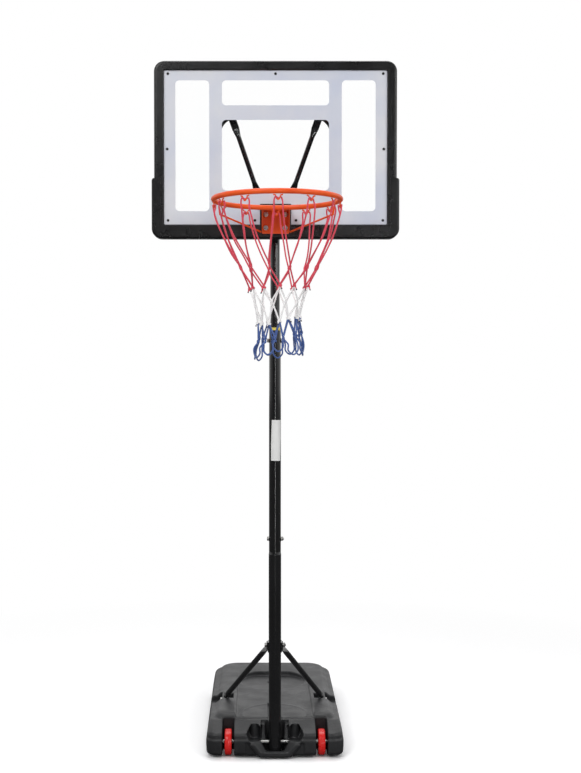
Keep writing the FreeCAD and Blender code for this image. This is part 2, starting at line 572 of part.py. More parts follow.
def rear_bar():
    """A tube bent to an upside-down U: its feet stand in the frame and it crosses behind the panel."""
    foot, r = BACK_FOOT - BAR_SOCKET + 1.0, BAR_BEND
    turn = r * (1 - math.sqrt(0.5))
    corner_x, corner_z = BAR_X - r, BAR_Z - r
    marks = [(-BAR_X, foot), (-BAR_X, corner_z), (-BAR_X + turn, BAR_Z - turn), (-corner_x, BAR_Z),
             (corner_x, BAR_Z), (BAR_X - turn, BAR_Z - turn), (BAR_X, corner_z), (BAR_X, foot)]
    p = [V(x, BAR_Y, z) for x, z in marks]
    path = Part.Wire([Part.makeLine(p[0], p[1]), Part.Arc(p[1], p[2], p[3]).toShape(), Part.makeLine(p[3], p[4]),
                      Part.Arc(p[4], p[5], p[6]).toShape(), Part.makeLine(p[6], p[7])])
    skins = [path.makePipeShell([Part.Wire(Part.Circle(p[0], Z, radius).toShape())], True, True)
             for radius in (BAR_R, BAR_R - 1.5)]
    body = skins[0].cut(skins[1])
    for side in (-1, 1):
        body = body.cut(rod(V(side * ARM_TOP.x, BAR_Y, BAR_Z), V(side * ARM_TOP.x, 0, BAR_Z), BOLT_R + LOOSE))
    return body


SCREWS = ([(s * 352.5, z) for s in (-1, 1) for z in (2278.5, 1800.0)] + [(s * 355.0, 2033.0) for s in (-1, 1)]
          + [(0.0, 2278.5), (-67.5, 1800.0), (67.5, 1800.0)])


def panel_blank(y0, y1):
    slab = upright(OPEN_HALF_W + PANEL_MARGIN, OPEN_FOOT - PANEL_MARGIN, OPEN_TOP + PANEL_MARGIN, 5, y0, y1)
    slab = slab.cut(box(-PAD_HALF_W - 0.5, PAD_HALF_W + 0.5, y0 - 1, y1 + 1, 0, PAD_TOP + 0.5))
    for x, z in SCREWS:
        slab = slab.cut(rod(V(x, y0 - 1, z), V(x, y1 + 1, z), 2.4))
    return slab


def backboard_panel():
    """The clear sheet."""
    y0 = BOARD_FRONT + PANEL_INSET
    return panel_blank(y0, y0 + PANEL_T)


def backboard_print():
    """The pale film on the sheet's face, with four clear windows that mark the target square."""
    y1 = BOARD_FRONT + PANEL_INSET
    film = panel_blank(y1 - PRINT_T, y1)
    x0, x1, z0, z1 = SIDE_WINDOW
    for spec in (SIDE_WINDOW, (-x1, -x0, z0, z1), HIGH_WINDOW, MAIN_WINDOW):
        film = film.cut(window(spec, y1 - 5, y1 + 5))
    return film


def panel_screws():
    """Black self-tapping screws with low round heads."""
    seat = BOARD_FRONT + PANEL_INSET - PRINT_T
    screws = []
    for x, z in SCREWS:
        head = Part.makeCylinder(4.4, 2.2, V(x, seat - 2.2, z), Y)
        head = head.makeFillet(1.4, [e for e in head.Edges if e.BoundBox.YMax < seat - 2.1])
        slot = box(x - 2.6, x + 2.6, seat - 3, seat - 1.3, z - 0.5, z + 0.5)
        cross = box(x - 0.5, x + 0.5, seat - 3, seat - 1.3, z - 2.6, z + 2.6)
        shank = Part.makeCylinder(2.0, 17, V(x, seat, z), Y)
        screws.append(fuse([head, shank]).cut(slot).cut(cross))
    return Part.makeCompound(screws)


def edge_guard():
    """The U-shaped bumper clipped over the board's lower edge and corners."""
    w, y0, y1 = GUARD_WALL, BOARD_FRONT - 2.5, BOARD_BACK + 2.5
    out_w, low = GUARD_HALF_W, BOARD_FOOT
    bead = 26.0
    outer = upright(out_w, low, GUARD_TOP + 40, 33, y0, y1)
    outer = outer.makeFillet(7, edges_at(outer, y0))
    outer = outer.makeFillet(3, edges_at(outer, y1))
    outer = outer.cut(box(-500, 500, -200, 0, GUARD_TOP, 2500))
    core = upright(BOARD_HALF_W + 0.3, BOARD_FOOT + 3.6, 2400, 34.3, BOARD_FRONT - 0.2, BOARD_BACK + 0.2)
    mouth = upright(out_w - w - bead, low + 22, 2400, 14, y0 - 9, y1 + 9)
    plate_gap = box(-PLATE_HALF_W - 9, PLATE_HALF_W + 9, y0 - 1, BOARD_FRONT - 0.1, PLATE_FOOT - 2, low + 40)
    body = outer.cut(core).cut(mouth).cut(plate_gap)
    corner = box(out_w - 12, out_w + 9, -200, 0, GUARD_TOP - 12, GUARD_TOP + 9)
    corner = corner.cut(Part.makeCylinder(9, 220, V(out_w - 9, -210, GUARD_TOP - 9), Y)).cut(
        box(0, out_w - 9, -300, 9, 0, 2500)).cut(box(0, 900, -300, 9, 0, GUARD_TOP - 9))
    return body.cut(corner).cut(mirrored(corner))


# ---- rim, bracket and net ----
def rim_plate():
    """The rim's bracket: a plate on the board, folded side lips, and a shelf out to the ring."""
    y1 = BOARD_FRONT - SEAT
    y0 = y1 - PLATE_T
    top = RIM_Z + 4
    face = box(-PLATE_HALF_W, PLATE_HALF_W, y0, y1, PLATE_FOOT, top)
    face = face.makeFillet(5, [e for e in face.Edges if e.Length < PLATE_T + 0.1 and e.BoundBox.ZMax < top - 1])
    ring_back = RIM_Y + RIM_R
    shelf = box(-PLATE_HALF_W, PLATE_HALF_W, ring_back - 4, y0, top - PLATE_T, top)
    shelf = shelf.cut(Part.makeCylinder(RIM_R - 1, 60, V(0, RIM_Y, RIM_Z - 30)))
    lips = []
    for s in (-1, 1):
        x = s * PLATE_HALF_W
        tri = [V(x, y0, top), V(x, ring_back + 12, top), V(x, ring_back + 12, top - 9),
               V(x, y0 - 8, PLATE_FOOT + 5), V(x, y0, PLATE_FOOT + 5)]
        lips.append(Part.Face(Part.makePolygon(tri + tri[:1])).extrude(V(-s * 3, 0, 0)))
    body = fuse([face, shelf] + lips)
    body = body.cut(rim_ring())
    for s in (-1, 1):
        for z in RIM_BOLT_Z:
            body = body.cut(rod(V(s * RIM_BOLT_X, y0 - 9, z), V(s * RIM_BOLT_X, y1 + 9, z), BOLT_R + LOOSE))
    return body


def rim_ring():
    return Part.makeTorus(RIM_R, RIM_TUBE_R, V(0, RIM_Y, RIM_Z), Z)


def rim_braces():
    """Round bars from under the ring's sides back to the plate's lower corners."""
    a = math.radians(68)
    start = V(RIM_R * math.sin(a), RIM_Y + RIM_R * math.cos(a), RIM_Z - RIM_TUBE_R - 2.6)
    end = V(PLATE_HALF_W + 3.2, BOARD_FRONT - 4, PLATE_FOOT + 6)
    knee = V(start.x - 3, start.y + 6, 1793)
    return pair(bent_rod([start, knee, end], 3.0))


def net_hooks():
    """Small wire loops under the ring that the net hangs from, evenly spaced."""
    hooks = []
    low = RIM_Z - RIM_TUBE_R
    for k in range(HOOKS):
        a = 2 * math.pi * k / HOOKS
        across, out = V(math.cos(a), math.sin(a), 0), V(math.sin(a), -math.cos(a), 0)
        centre = V(0, RIM_Y, 0) + out * (RIM_R - 1)
        points = [centre + across * u + V(0, 0, low + v)
                  for u, v in ((-14, -2.1), (-8, -4), (-4, -14), (0, -17), (4, -14), (8, -4), (14, -2.1))]
        hooks.append(bent_rod(points, HOOK_WIRE_R))
    return Part.makeCompound(hooks)


def net():
    """The net's envelope: an open sleeve that narrows to a waist and flares a little at its foot."""
    profile = [(188, 1801), (181, 1760), (165, 1712), (146, 1668), (117, 1616), (96, 1576), (86, 1548),
               (74, 1500), (67, 1462), (66, 1430), (72, 1385), (76, 1352)]
    ring = [V(r, 0, z) for r, z in profile] + [V(r - 4, 0, z) for r, z in reversed(profile)]
    wire = Part.makePolygon(ring + ring[:1])
    sleeve = Part.Face(wire).revolve(V(0, 0, 0), Z, 360)
    sleeve.translate(V(0, RIM_Y, 0))
    return sleeve


def rim_bolts():
    seat = BOARD_FRONT - PLATE_T - 2 * SEAT
    return Part.makeCompound([bolt(V(s * RIM_BOLT_X, seat, z), Y * -1, 58) for s in (-1, 1) for z in RIM_BOLT_Z])


def rim_nuts():
    seat = BOARD_BACK + SEAT * 2 + 3.0 + SEAT
    return Part.makeCompound([nut(V(s * RIM_BOLT_X, seat, z), Y) for s in (-1, 1) for z in RIM_BOLT_Z])


def board_bracket():
    """A steel plate behind the rim, two cheeks that hold the pole, and a lug on each for an arm."""
    y0, t = BOARD_BACK + 2 * SEAT, 3.0
    plate = box(-52, 52, y0, y0 + t, BOARD_FOOT + 25, 1876)
    x0 = TOP_R + SEAT
    side = [V(x0, y0, 1784), V(x0, y0, 1872), V(x0, EAR_Y - 18, EAR_Z + EAR_R), V(x0, EAR_Y, EAR_Z + EAR_R),
            V(x0, EAR_Y, 1784)]
    cheek = Part.Face(Part.makePolygon(side + side[:1])).extrude(X * t)
    ear = box(x0, EAR_X, EAR_Y - t, EAR_Y, EAR_Z - EAR_R, EAR_Z + EAR_R)
    ear = ear.fuse(rod(V(EAR_X, EAR_Y - t, EAR_Z), V(EAR_X, EAR_Y, EAR_Z), EAR_R))
    cheek = fuse([cheek, ear])
    cheek = cheek.cut(rod(V(EAR_X, 0, EAR_Z), V(EAR_X, 60, EAR_Z), BOLT_R + LOOSE))
    body = fuse([plate, cheek, mirrored(cheek)])
    for z in BRACKET_BOLT_Z:
        body = body.cut(x_rod(-60, 60, 0, z, BOLT_R + LOOSE))
    for s in (-1, 1):
        for z in RIM_BOLT_Z:
            body = body.cut(rod(V(s * RIM_BOLT_X, y0 - 5, z), V(s * RIM_BOLT_X, y0 + 9, z), BOLT_R + LOOSE))
    return body


def arm(side):
    """A brace from the bracket's lug up to the bar across the board's back."""
    foot = V(EAR_X, EAR_Y + 2.0 + SEAT, EAR_Z)
    body = flat_end_tube(foot, 33.0, ARM_TOP, 46.0, Y, ARM_R, 24.0)
    return body if side > 0 else mirrored(body)


def arm_screws():
    """Screws from each arm's top tab into the bar."""
    seat = V(ARM_TOP.x, ARM_TOP.y + 2.0 + SEAT, ARM_TOP.z)
    return pair(bolt(seat, Y, 15))


def arm_bolts():
    seat = V(EAR_X, EAR_Y + 4.0 + 2 * SEAT, EAR_Z)
    return pair(bolt(seat, Y, 17))


def arm_nuts():
    return pair(nut(V(EAR_X, EAR_Y - 3.0 - SEAT, EAR_Z), Y * -1))


def bracket_bolts():
    return Part.makeCompound([cross_bolt(z, 0.0, TOP_R + 3 + SEAT) for z in BRACKET_BOLT_Z])


def bracket_nuts():
    return Part.makeCompound([cross_nut(z, 0.0, TOP_R + 3 + SEAT) for z in BRACKET_BOLT_Z])


def all_parts():
    yield "base_tank", base_tank()
    yield "filler_cap", filler_cap()
    yield "axle_rod", axle_rod()
    yield "axle_caps", axle_caps()
    yield "foot_spacers", foot_spacers()
    yield "wheel_left", wheel(-1)
    yield "wheel_right", wheel(1)
    yield "lower_pole", lower_pole()
    yield "foot_plug", foot_plug()
    yield "middle_pole", middle_pole()
    yield "top_pole", top_pole()
    yield "top_plug", top_plug()
    yield "height_collar", height_collar()
    yield "pole_label", pole_label()
    yield "pole_joint_bolt", cross_bolt(JOINT_BOLT_Z)
    yield "pole_joint_nut", cross_nut(JOINT_BOLT_Z)
    yield "height_bolt", cross_bolt(HEIGHT_BOLT_Z)
    yield "height_nut", cross_nut(HEIGHT_BOLT_Z)
    yield "strut_bracket", strut_bracket()
    yield "strut_left", strut(-1)
    yield "strut_right", strut(1)
    yield "strut_top_bolt", cross_bolt(STRUT_BOLT_Z, STRUT_BOLT_Y, STRUT_GRIP)
    yield "strut_top_nut", cross_nut(STRUT_BOLT_Z, STRUT_BOLT_Y, STRUT_GRIP)
    yield "strut_foot_bolts", pair(foot_bolt())
    yield "strut_foot_nuts", pair(foot_nut())
    yield "backboard_frame", backboard_frame()
    yield "backboard_panel", backboard_panel()
    yield "backboard_print", backboard_print()
    yield "panel_screws", panel_screws()
    yield "edge_guard", edge_guard()
    yield "rear_bar", rear_bar()
    yield "board_bracket", board_bracket()
    yield "rim_plate", rim_plate()
    yield "rim_ring", rim_ring()
    yield "rim_braces", rim_braces()
    yield "net_hooks", net_hooks()
    yield "net", net()
    yield "rim_bolts", rim_bolts()
    yield "rim_nuts", rim_nuts()
    yield "arm_left", arm(-1)
    yield "arm_right", arm(1)
    yield "arm_bolts", arm_bolts()
    yield "arm_nuts", arm_nuts()
    yield "bracket_bolts", bracket_bolts()
    yield "bracket_nuts", bracket_nuts()
    yield "arm_screws", arm_screws()


def main():
    os.makedirs(OUT, exist_ok=True)
    for name, shape in all_parts():
        solids = shape.Solids
        fine = bool(solids) and all(s.isValid() and s.Volume > 0 for s in solids)
        print(f"{name:18s} solids {len(solids):2d}  volume {shape.Volume / 1000:9.1f} cm3  {'ok' if fine else 'BAD'}")
        body = solids[0] if len(solids) == 1 else Part.makeCompound(solids)
        body.exportStep(os.path.join(OUT, f"{name}.step"))


main()
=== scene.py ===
"""Looks for the portable basketball hoop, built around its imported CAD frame.

Metres, +Z up, -Y to the player.
"""

import json
import math
import random

import bmesh
import bpy
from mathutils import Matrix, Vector


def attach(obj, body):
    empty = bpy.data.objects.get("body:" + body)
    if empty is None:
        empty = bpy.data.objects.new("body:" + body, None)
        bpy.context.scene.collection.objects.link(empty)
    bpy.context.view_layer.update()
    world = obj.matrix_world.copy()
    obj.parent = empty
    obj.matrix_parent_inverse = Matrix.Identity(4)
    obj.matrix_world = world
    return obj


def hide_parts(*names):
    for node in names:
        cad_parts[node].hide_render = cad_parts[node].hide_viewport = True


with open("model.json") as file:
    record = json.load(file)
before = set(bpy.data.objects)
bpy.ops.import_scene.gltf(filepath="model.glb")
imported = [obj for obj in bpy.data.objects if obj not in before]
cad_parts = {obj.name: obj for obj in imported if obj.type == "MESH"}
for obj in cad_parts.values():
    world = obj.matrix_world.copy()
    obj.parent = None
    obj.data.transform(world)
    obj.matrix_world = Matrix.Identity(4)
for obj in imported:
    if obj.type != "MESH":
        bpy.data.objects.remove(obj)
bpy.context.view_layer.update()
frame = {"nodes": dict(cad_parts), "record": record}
NODES = frame["nodes"]
rng = random.Random(7)

# ---- the net ----
RING_CENTRE = Vector((0.0, -0.384, 1.828))
HOOKS = 12
STEP = 2 * math.pi / HOOKS                      # from one hook to the next
CORD_R = 0.0025
HOOK_FOOT, HOOK_WIRE_R = 1.803, 0.002
LEAN, LEAN_DROP = 0.0065, 0.27                  # lean to the right, and the drop over which it builds up
# height, radius, half steps round from the hooks, and tilt up to the right, of each row of crossings
ROWS = [(1.798, 0.1905, 0, 0), (1.622, 0.1190, 1, 0), (1.561, 0.0900, 0, 0.002), (1.514, 0.0745, 1, 0.006),
        (1.463, 0.0625, 0, 0.013), (1.412, 0.0650, 1, 0.009), (1.355, 0.0730, 0, 0.007)]
SLOPES = (0.3, 0.47, 0.38, 0.26, 0.12, -0.06, -0.10)    # how much the net widens with height at each row
CROSSING_GAP = 0.98                             # in cord radii, from each cord to the middle of a crossing
TIGHT = {1: 0.011, 2: 0.008, 3: 0.006, 4: 0.007, 5: 0.008}      # half the height of the twist at each row
# rows, by what happens there
HOOK_ROW, RED_KNOTS, WHITE_KNOTS, LOOP_CROSSINGS, LOOP_ENDS = 0, 2, 4, 5, 6
# height, radius, steps round from the hook, and share of the sway, down one slack leg
LEG_ROWS = [(1.757, 0.1820, 0.155, 0.4), (1.712, 0.1660, 0.235, 1.0), (1.667, 0.1435, 0.350, 0.6)]
LEG_SWAY, LEG_WANDER = 0.010, 0.0018            # angle and radius
LOOSE_FIRST, LOOSE_MORE = 0.4, 0.22             # unevenness of the crossings, and its growth per row
LOOSE_TURN, LOOSE_RADIUS, LOOSE_HEIGHT = 0.10, 0.0024, 0.0042
# sideways, up, and out from the net's surface, from one leg up to the top of the hook's wire
HOOK_BEND = [(0.0128, -0.019, 0.0), (0.0124, -0.004, 0.0030),
             (0.0090, 0.0072, 0.0045), (0.0055, 0.0076, 0.0044)]
HOOK_GAP = 0.0004
LOOP_HALF_W, LOOP_HALF_W_VARIES = 0.0175, 0.003
LOOP_LOWER, LOOP_HIGHER, LOOP_SKEW, LOOP_OUT = -0.005, 0.008, 0.004, 0.002
# share of the half width, and height above the lowest point, round the bottom of a loop
LOOP_SHAPE = [(-0.92, 0.030), (-0.90, 0.012), (0.0, 0.0), (0.90, 0.012), (0.92, 0.030)]
KNOT_TILT, KNOT_POINTS, KNOT_TURN_POINTS = 0.35, 11, 7.0
KNOT_HALF_W, KNOT_HALF_DEPTH, KNOT_HEIGHT, KNOT_CORD = 1.9, 1.7, 1.6, 0.8        # in cord radii
TAIL_CORD, BURNT_CORD = 0.7, 0.8                # in cord radii
TAIL_START = (0.0020, 0.0034, 0.002)            # to the side, outwards and down
TAIL_BEND = 0.0008
TAIL_SIDE, TAIL_OUT, TAIL_DROP = (0.0025, 0.0045), 0.0050, (0.006, 0.009)       # ranges, for the tail's end

# ---- the tank ----
VOXEL, SMOOTH_PASSES, FACES_KEPT = 0.0026, 5, 0.5
SAME_POINT = 0.00002

# ---- light: how bright the world is to each kind of ray, and the lamps ----
WORLD_LIT = 0.46
FRONT_MIRRORED = 0.02
# where each pale part of the mirrored world starts and is full along its direction, and its level
BACK_MIRRORED, SIDE_MIRRORED, RIGHT_MIRRORED = (-0.15, 0.75, 0.85), (0.55, 0.95, 0.45), (0.08, 0.40, 0.22)
FLOOR_SEEN, FLOOR_BOUNCE, FLOOR_MIRRORED = 1.25, 0.55, 0.10
FLOOR_SIZE, FADE_FROM, FADE_TO = 60, 0.9, 2.6   # the floor fades to white between these distances
# place, what it is aimed at, width, height and watts
SOFTBOXES = {
    "key": ((-1.9, -3.2, 3.9), (0, 0.0, 1.1), 1.8, 1.8, 78),
    "fill": ((2.6, -2.6, 2.6), (0, 0, 1.0), 1.6, 1.6, 34),
    "top": ((0.0, 0.9, 4.4), (0, 0.2, 0.6), 2.6, 2.0, 58),
    "strip": ((0.42, -4.4, 1.2), (0, 0, 1.1), 0.09, 2.4, 14),
}

# ---- camera ----
CAMERA_PLACE, CAMERA_DOWN = (-0.060, -3.930, 1.355), 1.5       # metres, degrees
LENS, SENSOR, SHIFT_X = 54.35, 36.0, 0.0431


# ---------------------------------------------------------------- materials
class Paint:
    """A node material with a Principled shader, and short ways to add what varies over the surface."""
    HIGHLIGHT_EDGE = 0.985, 0.90              # cosines of the edge's rounding at which the painted edge highlight starts and is full

    def __init__(self, name, colour, roughness, metallic=0.0, **inputs):
        self.material = bpy.data.materials.new(name)
        self.material.use_nodes = True
        self.tree = self.material.node_tree
        self.shader = self.tree.nodes["Principled BSDF"]
        self.output = self.tree.nodes["Material Output"]
        self.place = self.node("ShaderNodeTexCoord").outputs["Object"]
        self.colour, self.roughness, self.normal = self.rgb(colour), self.value(roughness), None
        self.shader.inputs["Metallic"].default_value = metallic
        for key, value in inputs.items():
            self.shader.inputs[key.replace("_", " ")].default_value = value

    def node(self, kind, **settings):
        made = self.tree.nodes.new(kind)
        for key, value in settings.items():
            setattr(made, key, value)
        return made

    def link(self, a, b):
        self.tree.links.new(a, b)

    def rgb(self, colour):
        made = self.node("ShaderNodeRGB")
        made.outputs[0].default_value = (*colour, 1)
        return made.outputs[0]

    def value(self, number):
        made = self.node("ShaderNodeValue")
        made.outputs[0].default_value = number
        return made.outputs[0]

    def math(self, kind, a, b):
        made = self.node("ShaderNodeMath", operation=kind)
        for socket, item in zip(made.inputs, (a, b)):
            if isinstance(item, (int, float)):
                socket.default_value = item
            else:
                self.link(item, socket)
        return made.outputs[0]

    def stretched(self, scale):
        made = self.node("ShaderNodeMapping")
        made.inputs["Scale"].default_value = scale
        self.link(self.place, made.inputs["Vector"])
        return made.outputs[0]

    def noise(self, scale, detail=3.0, stretch=None, low=0.35, high=0.65):
        made = self.node("ShaderNodeTexNoise")
        made.inputs["Scale"].default_value = scale
        made.inputs["Detail"].default_value = detail
        self.link(self.stretched(stretch) if stretch else self.place, made.inputs["Vector"])
        return self.spread(made.outputs["Fac"], low, high)

    def spread(self, socket, low, high, to_low=0.0, to_high=1.0):
        made = self.node("ShaderNodeMapRange")
        for key, item in (("From Min", low), ("From Max", high), ("To Min", to_low), ("To Max", to_high)):
            made.inputs[key].default_value = item
        self.link(socket, made.inputs["Value"])
        return made.outputs[0]

    def tint(self, colour, amount):
        """Mixes another colour in where amount is high."""
        made = self.node("ShaderNodeMix", data_type="RGBA")
        self.link(self.colour, made.inputs[6])
        made.inputs[7].default_value = (*colour, 1)
        self.link(amount, made.inputs[0])
        self.colour = made.outputs[2]
        return self

    def mottle(self, colour, scale, strength, stretch=None, detail=4.0):
        return self.tint(colour, self.math("MULTIPLY", self.noise(scale, detail, stretch), strength))

    def rough(self, scale, change, stretch=None):
        drift = self.spread(self.noise(scale, 3.0, stretch), 0, 1, -change, change)
        self.roughness = self.math("ADD", self.roughness, drift)
        return self

    def bump(self, height, depth, strength=1.0):
        made = self.node("ShaderNodeBump")
        made.inputs["Strength"].default_value = strength
        made.inputs["Distance"].default_value = depth
        self.link(height, made.inputs["Height"])
        if self.normal is not None:
            self.link(self.normal, made.inputs["Normal"])
        self.normal = made.outputs[0]
        return self

    def grain(self, scale, depth, stretch=None, detail=2.0):
        return self.bump(self.noise(scale, detail, stretch, 0.2, 0.8), depth)

    def edges(self, radius, colour=None, strength=0.5):
        """Softens the shading of sharp edges, and paints a lighter colour along them as a painted
        highlight.
        """
        made = self.node("ShaderNodeBevel", samples=4)
        made.inputs["Radius"].default_value = radius
        self.normal = made.outputs[0]
        if colour:
            plain = self.node("ShaderNodeNewGeometry")
            dot = self.node("ShaderNodeVectorMath", operation="DOT_PRODUCT")
            self.link(plain.outputs["Normal"], dot.inputs[0])
            self.link(made.outputs[0], dot.inputs[1])
            # painted highlight: where the rounded normal turns from the flat one, the edge gets a lighter
            # colour to stand in for shine
            highlight_mask = self.spread(dot.outputs["Value"], *self.HIGHLIGHT_EDGE)
            self.tint(colour, self.math("MULTIPLY", highlight_mask, strength))
        return self

    def done(self):
        self.link(self.colour, self.shader.inputs["Base Color"])
        self.link(self.roughness, self.shader.inputs["Roughness"])
        if self.normal is not None:
            self.link(self.normal, self.shader.inputs["Normal"])
        return self.material


def tank_plastic():
    p = Paint("tank_plastic", (0.017, 0.0175, 0.019), roughness=0.42, Specular_IOR_Level=0.50)
    # the lighter edge colour is a painted highlight
    p.edges(radius=0.0016, colour=(0.075, 0.075, 0.08), strength=0.35)
    p.mottle((0.025, 0.026, 0.028), scale=7.0, strength=0.7)
    p.mottle((0.014, 0.014, 0.015), scale=33.0, strength=0.35)
    p.rough(scale=14.0, change=0.07).grain(scale=900.0, depth=0.00022)
    return p.grain(scale=60.0, depth=0.0003).done()


def satin_plastic(name="frame_plastic", colour=(0.006, 0.006, 0.0065)):
    p = Paint(name, colour, roughness=0.30, Specular_IOR_Level=0.45)
    # the lighter edge colour is a painted highlight
    p.edges(radius=0.0010, colour=(0.06, 0.06, 0.062), strength=0.4)
    lighter = tuple(c * 1.9 for c in colour)
    p.mottle(lighter, scale=9.0, strength=0.5).rough(scale=11.0, change=0.06)
    return p.grain(scale=1100.0, depth=0.00012).done()


def black_paint():
    p = Paint("black_paint", (0.006, 0.006, 0.0065), roughness=0.20, Coat_Weight=0.7, Coat_Roughness=0.06)
    # the lighter edge colour is a painted highlight
    p.edges(radius=0.0005, colour=(0.07, 0.07, 0.07), strength=0.3)
    p.mottle((0.012, 0.012, 0.013), scale=12.0, strength=0.6, stretch=(1, 1, 0.25))
    return p.rough(scale=18.0, change=0.04, stretch=(1, 1, 0.3)).grain(scale=420.0, depth=0.00001).done()


def orange_paint():
    p = Paint("orange_paint", (0.90, 0.095, 0.006), roughness=0.46, Specular_IOR_Level=0.35,
              Coat_Weight=0.15, Coat_Roughness=0.16)
    # the lighter edge colour is a painted highlight
    p.edges(radius=0.0006, colour=(0.92, 0.20, 0.05), strength=0.5)
    p.mottle((0.70, 0.055, 0.004), scale=16.0, strength=0.7)
    p.mottle((0.88, 0.14, 0.02), scale=60.0, strength=0.3)
    return p.rough(scale=30.0, change=0.06).grain(scale=380.0, depth=0.00016).done()


def zinc_steel():
    p = Paint("zinc_steel", (0.60, 0.60, 0.585), roughness=0.36, metallic=1.0)
    # the lighter edge colour is a painted highlight
    p.edges(radius=0.0004, colour=(0.85, 0.85, 0.84), strength=0.5)
    p.mottle((0.47, 0.47, 0.46), scale=90.0, strength=0.6)
    return p.rough(scale=140.0, change=0.09).grain(scale=900.0, depth=0.00005).done()


def red_plastic():
    p = Paint("red_plastic", (0.66, 0.014, 0.014), roughness=0.28, Specular_IOR_Level=0.5)
    # the lighter edge colour is a painted highlight
    p.edges(radius=0.0007, colour=(0.86, 0.10, 0.07), strength=0.5)
    p.mottle((0.62, 0.012, 0.008), scale=40.0, strength=0.6)
    return p.rough(scale=60.0, change=0.06).grain(scale=700.0, depth=0.00008).done()


def yellow_plastic():
    p = Paint("yellow_plastic", (0.80, 0.66, 0.12), roughness=0.40)
    # the lighter edge colour is a painted highlight
    p.edges(radius=0.0006, colour=(0.9, 0.82, 0.35), strength=0.5)
    p.mottle((0.70, 0.55, 0.09), scale=70.0, strength=0.6)
    return p.rough(scale=80.0, change=0.05).grain(scale=900.0, depth=0.00006).done()


def label_film():
    p = Paint("label_film", (0.80, 0.80, 0.79), roughness=0.42)
    p.mottle((0.68, 0.68, 0.67), scale=45.0, strength=0.45, stretch=(1, 1, 0.4))
    return p.rough(scale=60.0, change=0.08).grain(scale=260.0, depth=0.00010).done()


def black_screws():
    p = Paint("black_screws", (0.012, 0.012, 0.012), roughness=0.40, metallic=0.4)
    # the lighter edge colour is a painted highlight
    p.edges(radius=0.0003, colour=(0.08, 0.08, 0.08), strength=0.4)
    p.mottle((0.03, 0.03, 0.03), scale=200.0, strength=0.6)
    return p.rough(scale=200.0, change=0.08).grain(scale=1500.0, depth=0.00003).done()


def clear_sheet():
    """Thin clear sheet: light goes straight through, with a faint tint and a weak reflection."""
    bend, shine_level = 1.35, 0.12
    p = Paint("clear_sheet", (1.0, 1.0, 1.0), roughness=0.05)
    p.mottle((0.985, 0.995, 0.995), scale=3.0, strength=0.5).rough(scale=6.0, change=0.03)
    p.grain(scale=4.0, depth=0.0004)
    through = p.node("ShaderNodeBsdfTransparent")
    shine = p.node("ShaderNodeBsdfGlossy")
    mix = p.node("ShaderNodeMixShader")
    fresnel = p.node("ShaderNodeFresnel")
    fresnel.inputs["IOR"].default_value = bend
    p.link(p.colour, through.inputs["Color"])
    p.link(p.roughness, shine.inputs["Roughness"])
    p.link(p.normal, shine.inputs["Normal"])
    p.link(p.math("MULTIPLY", fresnel.outputs[0], shine_level), mix.inputs[0])
    p.link(through.outputs[0], mix.inputs[1])
    p.link(shine.outputs[0], mix.inputs[2])
    p.link(mix.outputs[0], p.output.inputs["Surface"])
    return p.material


def pale_film():
    p = Paint("pale_film", (0.61, 0.635, 0.705), roughness=0.36, Specular_IOR_Level=0.4)
    p.mottle((0.52, 0.56, 0.68), scale=3.2, strength=0.8, stretch=(1, 1, 0.35))
    p.mottle((0.70, 0.70, 0.715), scale=5.0, strength=0.8)
    return p.rough(scale=8.0, change=0.05).grain(scale=500.0, depth=0.00003).done()


def net_cord(name, colour, dark, painted_glow=0.0):
    """Braided cord, with fine slanted threads. The glow is painted light: a faint emission that brightens
    pale cord.
    """
    p = Paint(name, colour, roughness=0.72, Sheen_Weight=0.35, Sheen_Roughness=0.45,
              Emission_Color=(*colour, 1), Emission_Strength=painted_glow)
    p.mottle(dark, scale=240.0, strength=0.65)
    p.mottle(tuple(min(1, c * 1.25) for c in colour), scale=30.0, strength=0.4)
    wave = p.node("ShaderNodeTexWave", wave_type="BANDS", bands_direction="DIAGONAL")
    wave.inputs["Scale"].default_value = 260.0
    wave.inputs["Distortion"].default_value = 2.5
    p.link(p.place, wave.inputs["Vector"])
    p.rough(scale=300.0, change=0.08).bump(wave.outputs["Fac"], depth=0.0004)
    return p.grain(scale=2600.0, depth=0.0002).done()


MATERIALS = {
    "tank_plastic": tank_plastic(), "black_plastic": satin_plastic("black_plastic", (0.018, 0.018, 0.019)),
    "zinc_steel": zinc_steel(), "red_plastic": red_plastic(), "black_paint": black_paint(),
    "yellow_plastic": yellow_plastic(), "label_film": label_film(), "frame_plastic": satin_plastic(),
    "clear_sheet": clear_sheet(), "pale_film": pale_film(), "black_screws": black_screws(),
    "orange_paint": orange_paint(),
}
CORDS = {
    "red": net_cord("net_red", (0.78, 0.060, 0.105), (0.60, 0.03, 0.06)),
    # the white cord gets a faint glow: painted light that brightens it
    "white": net_cord("net_white", (0.93, 0.92, 0.92), (0.84, 0.83, 0.83), 0.07),
    "blue": net_cord("net_blue", (0.065, 0.135, 0.40), (0.035, 0.07, 0.24)),
    "burnt": net_cord("net_burnt_ends", (0.03, 0.02, 0.04), (0.01, 0.01, 0.01)),
}


# ---------------------------------------------------------------- CAD pieces
def set_material(obj, material):
    obj.data.materials.clear()
    obj.data.materials.append(material)
    for polygon in obj.data.polygons:
        polygon.material_index = 0


def dress_cad():
    slots = {entry["node"]: entry["material_slot"] for entry in frame["record"]["subparts"]}
    for name, obj in NODES.items():
        if name != "net":
            set_material(obj, MATERIALS[slots[name]])


